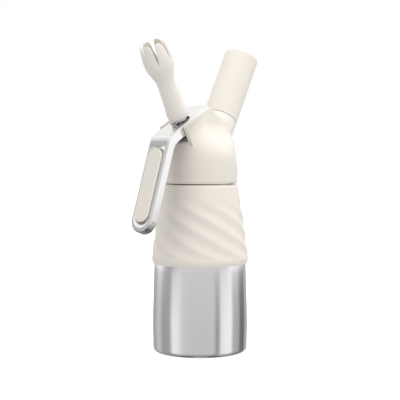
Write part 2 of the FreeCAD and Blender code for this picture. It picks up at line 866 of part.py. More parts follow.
turned(
    collar,
    "Revolution",
    "collar_blank",
    [
        ("stem_radius", "collar_start"),
        ("collar_radius - 0.4", "collar_start"),
        ("collar_radius", "collar_start + 0.4"),
        ("collar_radius", "collar_start + collar_thickness - 0.4"),
        ("collar_radius - 0.4", "collar_start + collar_thickness"),
        ("stem_radius", "collar_start + collar_thickness"),
    ],
)

# Valve spring: one unbroken wire, with closed end turns, as a pipe along arcs of a quarter turn


def helix_heights():
    """The wire centre's height at each quarter turn: a flat end turn, rising turns, a flat end turn."""
    low = number("spring_pocket_floor + 0.62 + wire_radius + 0.05")
    high = number("collar_start - wire_radius - 0.05")
    turns = int(number("spring_turns"))
    closed = 2 * number("wire_radius") + 0.45
    rise = (high - low - 2 * closed) / (turns * 4)
    heights = [low]
    for quarter in range(4 * (turns + 2)):
        end_turn = quarter < 4 or quarter >= 4 * (turns + 1)
        heights.append(heights[-1] + (closed / 4 if end_turn else rise))
    return heights


def spring_path():
    """The wire's centre line as arcs through three points, a quarter turn each."""
    radius = number("spring_radius")
    heights = helix_heights()
    edges = []
    for quarter in range(len(heights) - 1):
        points = []
        for part in (0.0, 0.5, 1.0):
            angle = (quarter + part) * math.pi / 2
            height = heights[quarter] + (heights[quarter + 1] - heights[quarter]) * part
            points.append(FreeCAD.Vector(radius * math.cos(angle), radius * math.sin(angle), height))
        edges.append(Part.Arc(*points).toShape())
    return Part.Wire(edges)


def least_gap(heights):
    """The least distance between the wire's surfaces a whole turn apart."""
    rises = [heights[at + 4] - heights[at] for at in range(len(heights) - 4)]
    return min(rises) - 2 * number("wire_radius")


path = spring_path()
start = path.Edges[0]
tangent = start.tangentAt(start.FirstParameter)
wire_section = Part.Wire(
    [Part.Circle(start.valueAt(start.FirstParameter), tangent, number("wire_radius")).toShape()]
)
valve_spring = doc.addObject("Part::Feature", "valve_spring")
valve_spring.Label = "valve_spring"
valve_spring.Shape = path.makePipeShell([wire_section], True, False)
valve_spring.Placement = FreeCAD.Placement(
    FreeCAD.Vector(0, 0, fork), FreeCAD.Rotation(FreeCAD.Vector(0, 1, 0), -nozzle_lean)
)
PARTS.append(valve_spring)
print(f"least gap between the spring's turns: {least_gap(helix_heights()):.2f} mm")

# Tip seal and decorating nozzle
tip_seal = nozzle_body("tip_seal")
ring(tip_seal, "tip_seal_blank", "stem_thread_radius + 0.1", "7", "nozzle_start - 0.85", "nozzle_start - 0.05")
nozzle = nozzle_body("decorating_nozzle")
turned(
    nozzle,
    "Revolution",
    "nozzle_shell",
    [
        ("stem_thread_radius + 0.15", "nozzle_start"),
        ("nozzle_base_radius - 0.6", "nozzle_start"),
        ("nozzle_base_radius", "nozzle_start + 0.6", "0.6", 1),
        ("nozzle_base_radius - 0.1", "nozzle_start + 14"),
        ("nozzle_neck_radius", "nozzle_neck_at"),
        ("nozzle_neck_radius + nozzle_flare", "nozzle_neck_at + nozzle_flare_length", "waist_curve", -1),
        ("nozzle_bulge_radius", "nozzle_bulge_at", "swell_curve", 1),
        ("nozzle_tip_radius", "nozzle_tip_at", "petal_curve", 1),
        ("nozzle_tip_radius - nozzle_wall", "nozzle_tip_at"),
        ("nozzle_bulge_radius - nozzle_wall", "nozzle_bulge_at", "petal_curve - nozzle_wall", -1),
        ("nozzle_neck_radius + nozzle_flare - nozzle_wall", "nozzle_neck_at + nozzle_flare_length", "swell_curve - nozzle_wall", -1),
        ("nozzle_neck_radius - nozzle_wall", "nozzle_neck_at", "waist_curve + nozzle_wall", 1),
        ("nozzle_neck_radius - nozzle_wall", "stem_end + 4"),
        ("stem_thread_radius + 0.15", "stem_end + 1.5"),
    ],
)
notch = sketch_on(nozzle, "notch_outline", "XZ_Plane")
draw(
    notch,
    [
        ("-0.35", "notch_start"),
        ("0.35", "notch_start", "0.4", 1),
        ("notch_width / 2", "nozzle_tip_at + 0.5"),
        ("-notch_width / 2", "nozzle_tip_at + 0.5"),
    ],
)
turn_in = FreeCAD.Rotation(FreeCAD.Vector(0, 1, 0), SIZES["notch_turn"] + 90)
notch.AttachmentOffset = FreeCAD.Placement(FreeCAD.Vector(0, 0, 0), turn_in)
cut = nozzle.newObject("PartDesign::Pocket", "petal_notch")
cut.Profile = notch
cut.setExpression("Length", bound("nozzle_bulge_radius + 2"))
doc.recompute()
petals = nozzle.newObject("PartDesign::PolarPattern", "petal_notches")
petals.Originals = [cut]
petals.Axis = (notch, ["V_Axis"])
petals.Angle = 360
petals.setExpression("Occurrences", bound("petal_count"))
nozzle.Tip = petals
doc.recompute()

# Charger arm: the inlet in the head, the gas charger and the holder that screws over it
inlet = charger_body("inlet_body")
turned(
    inlet,
    "Revolution",
    "inlet_blank",
    [
        ("1.2", "inlet_start"),
        ("inlet_radius - 2.1", "inlet_start"),
        ("inlet_radius - 0.1", "inlet_start + 2"),
        ("inlet_radius - 0.1", "arm_seam - 2.9"),
        ("inlet_flange_radius - 0.1", "arm_seam - 2.9"),
        ("inlet_flange_radius - 0.1", "arm_seam - 0.1"),
        ("inlet_thread_radius", "arm_seam - 0.1"),
        ("inlet_thread_radius", "inlet_thread_end - 0.6"),
        ("inlet_thread_radius - 0.6", "inlet_thread_end"),
        ("charger_radius + charger_gap", "inlet_thread_end"),
        ("charger_radius + charger_gap", "arm_seam"),
        ("charger_neck_radius + 0.4", "arm_seam - 2.5"),
        ("charger_neck_radius + 0.4", "arm_seam - 8"),
        ("1.2", "arm_seam - 8"),
    ],
)
piercing_pin = charger_body("piercing_pin")
turned(
    piercing_pin,
    "Revolution",
    "pin_blank",
    [
        ("0", "arm_seam - 14"),
        ("1.1", "arm_seam - 14"),
        ("1.1", "arm_seam - 4.4"),
        ("0.15", "arm_seam - 2.8"),
        ("0", "arm_seam - 2.8"),
    ],
)
charger_seal = charger_body("charger_seal")
ring(charger_seal, "charger_seal_blank", "1.3", "charger_neck_radius + 0.2", "arm_seam - 7.9", "arm_seam - 5.8")
check_valve = charger_body("check_valve")
turned(
    check_valve,
    "Revolution",
    "check_valve_blank",
    [
        ("0", "inlet_start - 3.4"),
        ("2", "inlet_start - 3.4"),
        ("4.4", "inlet_start - 1.6"),
        ("4.4", "inlet_start - 0.1"),
        ("0.9", "inlet_start - 0.1"),
        ("0.9", "inlet_start + 5"),
        ("0", "inlet_start + 5"),
    ],
)
charger = charger_body("gas_charger")
tip_at = "(holder_end - holder_wall - 0.2 - charger_length)"
turned(
    charger,
    "Revolution",
    "charger_blank",
    [
        ("0", f"{tip_at} + 4"),
        ("1.5", f"{tip_at} + 4"),
        ("1.5", tip_at),
        ("charger_neck_radius - 0.5", tip_at),
        ("charger_neck_radius", f"{tip_at} + 0.5"),
        ("charger_neck_radius", f"{tip_at} + charger_neck"),
        ("charger_radius", f"{tip_at} + charger_neck + 9", "9", -1),
        ("charger_radius", f"{tip_at} + charger_length - 5"),
        ("charger_radius - 5", f"{tip_at} + charger_length", "5", 1),
        ("0", f"{tip_at} + charger_length"),
    ],
)
holder = charger_body("charger_holder")
turned(
    holder,
    "Revolution",
    "holder_shell",
    [
        ("arm_radius - 1.5", "arm_seam + 0.3"),
        ("arm_radius - 0.4", "arm_seam + 0.3"),
        ("arm_radius", "arm_seam + 0.7"),
        ("arm_radius", "holder_end - 1.8"),
        ("arm_radius - 1.8", "holder_end", "1.8", 1),
        ("0", "holder_end"),
        ("0", "holder_end - holder_wall"),
        ("charger_radius + charger_gap", "holder_end - holder_wall"),
        ("charger_radius + charger_gap", "inlet_thread_end + 2"),
        ("arm_radius - 1.5", "inlet_thread_end + 2"),
    ],
)
holder_ring = charger_body("holder_ring")
ring(
    holder_ring,
    "holder_ring_blank",
    "inlet_thread_radius + thread_gap",
    "arm_radius - 1.5",
    "arm_seam + 0.6",
    "inlet_thread_end + 1.9",
)

doc.recompute()
for item in doc.Objects:
    if "Invalid" in item.State or "Error" in item.State:
        raise ValueError(f"{item.Label} did not build")
os.makedirs("parts", exist_ok=True)
for item in PARTS:
    if item.Shape.isNull() or not item.Shape.isValid() or not item.Shape.Solids:
        raise ValueError(f"{item.Label} is not a sound solid")
    item.Shape.exportStep(f"parts/{item.Label}.step")
print(f"{len(PARTS)} parts written")
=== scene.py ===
"""A whipped cream dispenser: refined surfaces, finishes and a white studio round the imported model.

Lengths inside the classes are millimetres and angles are degrees; meshes are made in metres.
"""

from __future__ import annotations

import json
import logging
import math
from collections.abc import Callable, Sequence
from dataclasses import dataclass
from enum import Enum

import bmesh
import bpy
import numpy as np
from bmesh.types import BMesh
from bpy.types import ID, Material, Mesh, Node, NodeSocket, NodeTree, Object
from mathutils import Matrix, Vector

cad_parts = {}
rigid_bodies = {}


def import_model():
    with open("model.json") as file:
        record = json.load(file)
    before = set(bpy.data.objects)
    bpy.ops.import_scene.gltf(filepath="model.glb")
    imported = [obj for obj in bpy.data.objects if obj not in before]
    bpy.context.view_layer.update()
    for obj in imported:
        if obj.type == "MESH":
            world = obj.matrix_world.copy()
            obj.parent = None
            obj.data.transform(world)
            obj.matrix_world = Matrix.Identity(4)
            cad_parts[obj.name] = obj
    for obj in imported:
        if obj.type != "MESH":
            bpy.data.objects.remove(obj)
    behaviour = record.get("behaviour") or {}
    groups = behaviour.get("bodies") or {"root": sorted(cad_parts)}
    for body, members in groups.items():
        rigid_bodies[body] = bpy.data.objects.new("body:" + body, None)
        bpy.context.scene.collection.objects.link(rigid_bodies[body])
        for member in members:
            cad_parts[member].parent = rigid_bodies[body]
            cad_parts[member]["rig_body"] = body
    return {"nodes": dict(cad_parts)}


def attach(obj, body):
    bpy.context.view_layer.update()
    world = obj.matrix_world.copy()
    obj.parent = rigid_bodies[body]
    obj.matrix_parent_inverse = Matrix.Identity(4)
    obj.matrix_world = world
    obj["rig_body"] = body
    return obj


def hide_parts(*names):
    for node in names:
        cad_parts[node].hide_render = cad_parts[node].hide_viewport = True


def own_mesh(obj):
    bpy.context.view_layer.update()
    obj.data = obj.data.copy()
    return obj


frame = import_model()

LOG = logging.getLogger("dispenser")
MM = 0.001
TURN = 2 * np.pi
WHITE = (1.0, 1.0, 1.0, 1.0)

Colour = tuple[float, float, float]
Point = tuple[float, float, float]


class Slot(str, Enum):
    """The record's material slots that new pieces take their finish from."""

    BRUSHED = "stainless_brushed"
    POLISHED = "stainless_polished"
    PLASTIC = "cream_plastic"
    SILICONE = "cream_silicone"
    ALUMINIUM = "aluminium_insert"
    SPRING = "spring_steel"


class Lie(Enum):
    """Which way a brushed finish's fine lines run, as the stretch of its noise along X, Y and Z."""

    ROUND = (1.5, 1.5, 420.0)
    ALONG = (14.0, 420.0, 14.0)


# Node trees


class Tree:
    """A thin wrapper that adds nodes to a shader tree and joins them.

    A Mix node's sockets go by number, since those for numbers and colours share their names.
    """

    MIX_INPUTS = (0, 6, 7)
    MIX_RESULT = 2

    def __init__(self, tree: NodeTree) -> None:
        """Wraps a tree."""
        self.tree = tree

    def add(
        self, kind: str, settings: dict[str, object] | None = None, **inputs: object
    ) -> Node:
        """Adds a node.

        Args:
            kind: The node's type, without its ShaderNode prefix.
            settings: Values for the node's own properties.
            **inputs: What fill takes.

        Returns:
            The new node.
        """
        node = self.tree.nodes.new("ShaderNode" + kind)
        for name, value in (settings or {}).items():
            setattr(node, name, value)
        self.fill(node, **inputs)
        return node

    def fill(self, node: Node, **inputs: object) -> None:
        """Puts a value or an output socket in each named input, with _ for a space."""
        for name, value in inputs.items():
            self.put(node.inputs[name.replace("_", " ")], value)

    def put(self, socket: NodeSocket, value: object) -> None:
        """Links an output to a socket, or sets the socket's value."""
        if isinstance(value, NodeSocket):
            self.tree.links.new(value, socket)
        else:
            socket.default_value = value

    def math(self, operation: str, *values: object) -> NodeSocket:
        """Adds a Math node and returns its output."""
        node = self.add("Math", {"operation": operation})
        for at, value in enumerate(values):
            self.put(node.inputs[at], value)
        return node.outputs[0]

    def spread(self, source: NodeSocket, low: float, high: float) -> NodeSocket:
        """Maps 0 to 1 onto a range and returns the output."""
        node = self.add("MapRange", To_Min=low, To_Max=high)
        self.put(node.inputs["Value"], source)
        return node.outputs[0]

    def mix(self, mask: NodeSocket, first: object, second: object) -> NodeSocket:
        """Mixes two colours by a mask; each is an output, or red, green, blue and alpha."""
        node = self.add("Mix", {"data_type": "RGBA"})
        for at, value in zip(self.MIX_INPUTS, (mask, first, second)):
            self.put(node.inputs[at], value)
        return node.outputs[self.MIX_RESULT]


def new_material(name: str) -> tuple[Material, Tree, Node]:
    """Makes a material and returns it with its shader tree and its Principled node."""
    material = bpy.data.materials.new(name)
    material.use_nodes = True
    return material, Tree(material.node_tree), material.node_tree.nodes["Principled BSDF"]


def new_group(
    name: str, inputs: dict[str, float], outputs: Sequence[str]
) -> tuple[NodeTree, Tree]:
    """Makes a shader node group with a Vector input, named float inputs and float outputs.

    Args:
        name: The group's name.
        inputs: Each float input with its usual value.
        outputs: The names of the outputs.

    Returns:
        The group and a wrapper round it.
    """
    group = bpy.data.node_groups.new(name, "ShaderNodeTree")
    group.interface.new_socket("Vector", in_out="INPUT", socket_type="NodeSocketVector")
    for label, value in inputs.items():
        socket = group.interface.new_socket(label, in_out="INPUT", socket_type="NodeSocketFloat")
        socket.default_value = value
    for label in outputs:
        group.interface.new_socket(label, in_out="OUTPUT", socket_type="NodeSocketFloat")
    return group, Tree(group)


class Effects:
    """The node groups that several finishes share, each built once."""

    def __init__(self) -> None:
        """Builds the groups."""
        self.brushing = self.make_brushing()
        self.grain = self.make_grain()
        self.wear = self.make_wear()

    def make_brushing(self) -> NodeTree:
        """Fine drawn lines from stretched noise, with broad cloudy variation."""
        group, tree = new_group("Brushed lines", {"Fineness": 1.0}, ("Lines", "Cloud"))
        inside = group.nodes.new("NodeGroupInput")
        spot = inside.outputs["Vector"]
        scaled = tree.add("VectorMath", {"operation": "SCALE"}, Scale=inside.outputs["Fineness"])
        tree.put(scaled.inputs[0], spot)
        fine = scaled.outputs[0]
        lines = tree.add("TexNoise", Vector=fine, Scale=10.0, Detail=4.0, Roughness=0.65)
        cloud = tree.add("TexNoise", Vector=spot, Scale=0.6, Detail=2.0)
        out = group.nodes.new("NodeGroupOutput")
        tree.fill(out, Lines=lines.outputs["Fac"], Cloud=cloud.outputs["Fac"])
        return group

    def make_grain(self) -> NodeTree:
        """The tiny pits of a moulded skin and a slow change of shade."""
        group, tree = new_group("Moulded grain", {"Pit Scale": 1500.0}, ("Height", "Mottle"))
        inside = group.nodes.new("NodeGroupInput")
        spot = inside.outputs["Vector"]
        pits = tree.add("TexNoise", Vector=spot, Scale=inside.outputs["Pit Scale"], Detail=2.0)
        slow = tree.add("TexNoise", Vector=spot, Scale=28.0, Detail=3.0)
        out = group.nodes.new("NodeGroupOutput")
        tree.fill(out, Height=pits.outputs["Fac"], Mottle=slow.outputs["Fac"])
        return group

    def make_wear(self) -> NodeTree:
        """A broken mask along convex edges, where hands and washing polish a part.

        The mask is (pointiness - reach) * steepness * noise, held between 0 and 1.
        """
        steepness = 14.0
        group, tree = new_group("Edge wear", {"Reach": 0.52}, ("Edge",))
        inside = group.nodes.new("NodeGroupInput")
        shape = tree.add("NewGeometry")
        specks = tree.add("TexNoise", Vector=inside.outputs["Vector"], Scale=220.0, Detail=3.0)
        raised = tree.math("SUBTRACT", shape.outputs["Pointiness"], inside.outputs["Reach"])
        sharp = tree.math("MULTIPLY", raised, steepness)
        broken = tree.math("MULTIPLY", sharp, specks.outputs["Fac"])
        held = tree.add("Clamp", Value=broken)
        out = group.nodes.new("NodeGroupOutput")
        tree.fill(out, Edge=held.outputs[0])
        return group


@dataclass(frozen=True)
class Steel:
    """A bare metal with drawn lines.

    Attributes:
        name: The material's name.
        light: Its paler colour.
        dark: Its darker colour.
        rough: Lowest and highest roughness.
        lie: Which way the lines run.
        turn: Mapping rotation about Y, to follow a leaning piece.
        relief: How deep the lines look.
        painted_shade_above: The height above which the metal is coloured darker, as painted shade
            for the gap under the head.
    """

    # Painted shade: the darker colour of the bottle's neck, standing in for the shade in the gap
    # under the head.
    PAINTED_SHADE = (0.52, 0.48, 0.42)
    RELIEF_HEIGHT = 0.0002

    name: str
    light: Colour = (0.96, 0.934, 0.96)
    dark: Colour = (0.88, 0.855, 0.88)
    rough: tuple[float, float] = (0.20, 0.32)
    lie: Lie = Lie.ROUND
    turn: float = 0.0
    relief: float = 0.05
    painted_shade_above: float = 1000.0

    def build(self, effects: Effects) -> Material:
        """Builds the material."""
        material, tree, skin = new_material(self.name)
        place = tree.add("TexCoord")
        mapping = tree.add("Mapping", Vector=place.outputs["Object"], Scale=self.lie.value)
        tree.fill(mapping, Rotation=(0.0, math.radians(self.turn), 0.0))
        brush = tree.add("Group", {"node_tree": effects.brushing}, Vector=mapping.outputs[0])
        wear = tree.add("Group", {"node_tree": effects.wear}, Vector=place.outputs["Object"])
        shade = tree.math("MULTIPLY_ADD", brush.outputs["Lines"], 0.6, 0.1)
        shade = tree.math("ADD", shade, wear.outputs["Edge"])
        apart = tree.add("SeparateXYZ", Vector=place.outputs["Object"])
        # Painted shade: the metal above that height is coloured darker, for the shade in the gap
        # under the head.
        painted_shade_mask = tree.math("GREATER_THAN", apart.outputs["Z"], self.painted_shade_above * MM)
        polished = tree.mix(shade, (*self.dark, 1.0), (*self.light, 1.0))
        rough = tree.math("MULTIPLY", brush.outputs["Lines"], 0.7)
        rough = tree.math("MULTIPLY_ADD", brush.outputs["Cloud"], 0.3, rough)
        bump = tree.add("Bump", Height=brush.outputs["Lines"], Strength=self.relief)
        tree.fill(bump, Distance=self.RELIEF_HEIGHT)
        tree.fill(
            skin,
            Base_Color=tree.mix(painted_shade_mask, polished, (*self.PAINTED_SHADE, 1.0)),
            Roughness=tree.spread(rough, *self.rough),
            Metallic=1.0,
            Normal=bump.outputs[0],
        )
        return material


@dataclass(frozen=True)
class Moulded:
    """A moulded plastic or rubber.

    Attributes:
        name: The material's name.
        colour: Its main colour.
        shadow: The colour its slow mottling drifts to.
        rough: Lowest and highest roughness.
        pits: Scale of the tiny pits.
        relief: How strong the pits look.
        coat: A clear gloss over it.
    """

    COAT_ROUGHNESS = 0.15
    RELIEF_HEIGHT = 0.0001

    name: str
    colour: Colour = (0.87, 0.82, 0.745)
    shadow: Colour = (0.84, 0.785, 0.700)
    rough: tuple[float, float] = (0.34, 0.46)
    pits: float = 1500.0
    relief: float = 0.06
    coat: float = 0.0

    def build(self, effects: Effects) -> Material:
        """Builds the material."""
        material, tree, skin = new_material(self.name)
        place = tree.add("TexCoord")
        grain = tree.add("Group", {"node_tree": effects.grain}, Vector=place.outputs["Object"])
        tree.fill(grain, Pit_Scale=self.pits)
        wear = tree.add("Group", {"node_tree": effects.wear}, Vector=place.outputs["Object"])
        worn = tree.math("MULTIPLY_ADD", wear.outputs["Edge"], 0.35, grain.outputs["Mottle"])
        bump = tree.add("Bump", Height=grain.outputs["Height"], Strength=self.relief)
        tree.fill(bump, Distance=self.RELIEF_HEIGHT)
        tree.fill(
            skin,
            Base_Color=tree.mix(worn, (*self.shadow, 1.0), (*self.colour, 1.0)),
            Roughness=tree.spread(grain.outputs["Height"], *self.rough),
            Coat_Weight=self.coat,
            Coat_Roughness=self.COAT_ROUGHNESS,
            Normal=bump.outputs[0],
        )
        return material


class Finishes:
    """Every material of the dispenser, built once."""

    def __init__(self) -> None:
        """Builds the materials."""
        effects = Effects()
        # The bottle's neck above 138 mm is coloured darker: painted shade for the gap under the
        # head.
        self.bottle = Steel("Bottle steel", rough=(0.12, 0.21), painted_shade_above=138.0).build(effects)
        self.lever = Steel(
            "Lever steel",
            (0.94, 0.935, 0.93),
            (0.86, 0.855, 0.85),
            rough=(0.14, 0.24),
            lie=Lie.ALONG,
            turn=29.5,
        ).build(effects)
        self.fittings = Steel("Fitting steel", rough=(0.12, 0.22)).build(effects)
        self.wire = Steel(
            "Spring wire", (0.70, 0.70, 0.72), (0.52, 0.52, 0.54), rough=(0.2, 0.3)
        ).build(effects)
        self.aluminium = Steel(
            "Turned aluminium", (0.78, 0.79, 0.80), (0.66, 0.67, 0.68), rough=(0.28, 0.42)
        ).build(effects)
        self.plastic = Moulded("Cream plastic").build(effects)
        self.silicone = Moulded(
            "Cream silicone",
            (0.87, 0.821, 0.75),
            (0.84, 0.786, 0.705),
            rough=(0.52, 0.66),
            pits=1100.0,
            relief=0.09,
        ).build(effects)
        self.nozzle = Moulded(
            "Nozzle plastic", (0.885, 0.845, 0.788), (0.855, 0.81, 0.745)
        ).build(effects)
        self.pad = Moulded("Pad plastic", rough=(0.26, 0.36), coat=0.25).build(effects)
        self.seal = Moulded(
            "Seal silicone",
            (0.78, 0.77, 0.74),
            (0.70, 0.69, 0.66),
            rough=(0.42, 0.55),
            pits=900.0,
            relief=0.08,
        ).build(effects)


# Surfaces


def rounded_path(corners: Sequence[Point], steps: int = 8) -> np.ndarray:
    """A path through corners, each eased by a curve that starts and ends at a given reach from it.

    The curve from s to e round a corner c is (1 - t)^2 s + 2 t (1 - t) c + t^2 e.

    Args:
        corners: Radius, height and reach of each corner; a reach of 0 keeps it sharp.
        steps: How many points each eased corner gets, less one.

    Returns:
        The path's points, one row each.
    """
    most = 0.49  # of a side, so that the curves at its two ends never meet
    spots = np.array([corner[:2] for corner in corners], float)
    share = np.linspace(0.0, 1.0, steps + 1)[:, None]
    path = []
    for at, (_, _, reach) in enumerate(corners):
        here = spots[at]
        if reach == 0.0 or at in (0, len(corners) - 1):
            path.append(here[None])
            continue
        back, ahead = spots[at - 1] - here, spots[at + 1] - here
        start, end = (
            here + side / np.linalg.norm(side) * min(reach, np.linalg.norm(side) * most)
            for side in (back, ahead)
        )
        path.append((1 - share) ** 2 * start + 2 * share * (1 - share) * here + share**2 * end)
    return np.concatenate(path)


def refine(path: np.ndarray, gap: float) -> np.ndarray:
    """Divides a path's runs.

    Args:
        path: The path's points, one row each.
        gap: How far apart two points may be.

    Returns:
        The longer path.
    """
    runs = []
    for start, end in zip(path[:-1], path[1:]):
        count = max(int(np.ceil(np.linalg.norm(end - start) / gap)), 1)
        runs.append(start + (end - start) * (np.arange(count) / count)[:, None])
    return np.concatenate([*runs, path[-1:]])


def ring_angles(segments: int) -> np.ndarray:
    """Even angles once round an axis, in radians."""
    return np.linspace(0.0, TURN, segments, endpoint=False)


def turned(path: np.ndarray, segments: int, ripple: np.ndarray | float = 0.0) -> np.ndarray:
    """A path turned round +Z: (r cos a, r sin a, z) for every path point and angle.

    Args:
        path: Radius and height of each row.
        segments: How many columns there are round the axis.
        ripple: What is added to the radius, as rows by columns.

    Returns:
        The grid, as rows by columns by 3.
    """
    angle = ring_angles(segments)
    radius = np.maximum(np.broadcast_to(path[:, :1] + ripple, (len(path), segments)), 0.0)
    height = np.broadcast_to(path[:, 1:], radius.shape)
    return np.stack((radius * np.cos(angle), radius * np.sin(angle), height), -1)


def grid_faces(rows: int, columns: int, ring: bool = True, loop: bool = False) -> np.ndarray:
    """The quads of a grid of points.

    Args:
        rows: How many rows of points there are.
        columns: How many points each row has.
        ring: Whether each row closes on itself.
        loop: Whether the last row joins the first.

    Returns:
        Four point numbers for each quad.
    """
    across = np.arange(columns if ring else columns - 1)
    up = np.arange(rows if loop else rows - 1)
    row, column = np.meshgrid(up, across, indexing="ij")
    after_row, after_column = (row + 1) % rows, (column + 1) % columns
    corners = (row * columns + column, row * columns + after_column)
    corners += (after_row * columns + after_column, after_row * columns + column)
    return np.stack(corners, -1).reshape(-1, 4)


@dataclass(frozen=True)
class Axis:
    """A leaning axis in the XZ plane, at which a piece's own +Z is laid.

    Attributes:
        lean: Degrees from +Z towards +X.
        height: Where the axis starts, on the object's own axis.
    """

    lean: float = 0.0
    height: float = 0.0

    def place(self, points: np.ndarray) -> np.ndarray:
        """Lays points of a piece's own axes in the object's frame.

        Args:
            points: Points in millimetres, along the last axis of the array.

        Returns:
            The points in metres.
        """
        turn = math.radians(self.lean)
        x, y, z = points[..., 0], points[..., 1], points[..., 2]
        along = x * math.cos(turn) + z * math.sin(turn)
        up = -x * math.sin(turn) + z * math.cos(turn) + self.height
        return np.stack((along, y, up), -1) * MM


UPRIGHT = Axis()
NOZZLE_AXIS = Axis(-29.5, 148.0)
CHARGER_AXIS = Axis(29.0, 148.0)


def add_object(name: str, data: ID) -> Object:
    """Makes an object of a mesh, light or camera and puts it in the scene."""
    thing = bpy.data.objects.new(name, data)
    bpy.context.scene.collection.objects.link(thing)
    return thing


def piece(
    name: str,
    points: np.ndarray,
    faces: np.ndarray,
    material: Material,
    nodes: Sequence[str],
    sharp: float = 38.0,
) -> Object:
    """Makes a closed mesh piece that stands for CAD nodes and rides on their body.

    Args:
        name: The piece's name.
        points: Its vertices, in metres.
        faces: Its quads.
        material: Its finish.
        nodes: The CAD nodes that it stands for.
        sharp: Edges bent by more than this many degrees stay sharp.

    Returns:
        The new object.
    """
    mesh = bpy.data.meshes.new(name)
    mesh.from_pydata(points.reshape(-1, 3).tolist(), [], faces.tolist())
    shape = bmesh.new()
    shape.from_mesh(mesh)
    bmesh.ops.remove_doubles(shape, verts=shape.verts, dist=2e-6)
    bmesh.ops.recalc_face_normals(shape, faces=shape.faces)
    shape.to_mesh(mesh)
    shape.free()
    return finish_piece(name, mesh, material, nodes, sharp)


def finish_piece(
    name: str,
    mesh: Mesh,
    material: Material,
    nodes: Sequence[str],
    sharp: float,
) -> Object:
    """Shades a mesh, dresses it, puts it on its nodes' body and hides those nodes."""
    mesh.shade_smooth()
    mesh.set_sharp_from_angle(angle=math.radians(sharp))
    mesh.materials.clear()
    mesh.materials.append(material)
    thing = add_object(name, mesh)
    body = frame["nodes"][nodes[0]]["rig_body"]
    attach(thing, body)
    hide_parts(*nodes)
    LOG.info("%s: %d faces on %s", name, len(mesh.polygons), body)
    return thing


def smoothed(
    node: str,
    name: str,
    material: Material,
    reshape: Callable[[BMesh], None] | None = None,
    sharp: float = 32.0,
) -> Object:
    """Stands a merged and smoothly shaded copy in place of a CAD node.

    Args:
        node: The CAD node.
        name: The new piece's name.
        material: Its finish.
        reshape: What is done to the merged mesh before it is shaded.
        sharp: Edges bent by more than this many degrees stay sharp.

    Returns:
        The new object.
    """
    mesh = frame["nodes"][node].data.copy()
    mesh.name = name
    shape = bmesh.new()
    shape.from_mesh(mesh)
    bmesh.ops.remove_doubles(shape, verts=shape.verts, dist=1e-6)
    if reshape is not None:
        reshape(shape)
    shape.to_mesh(mesh)
    shape.free()
    return finish_piece(name, mesh, material, [node], sharp)


def dress(material: Material, *nodes: str) -> None:
    """Gives CAD nodes a material and leaves their shape alone."""
    for node in nodes:
        slots = frame["nodes"][node].data.materials
        slots.clear()
        slots.append(material)
        LOG.info("%s: %s", node, material.name)


# Sub-assemblies


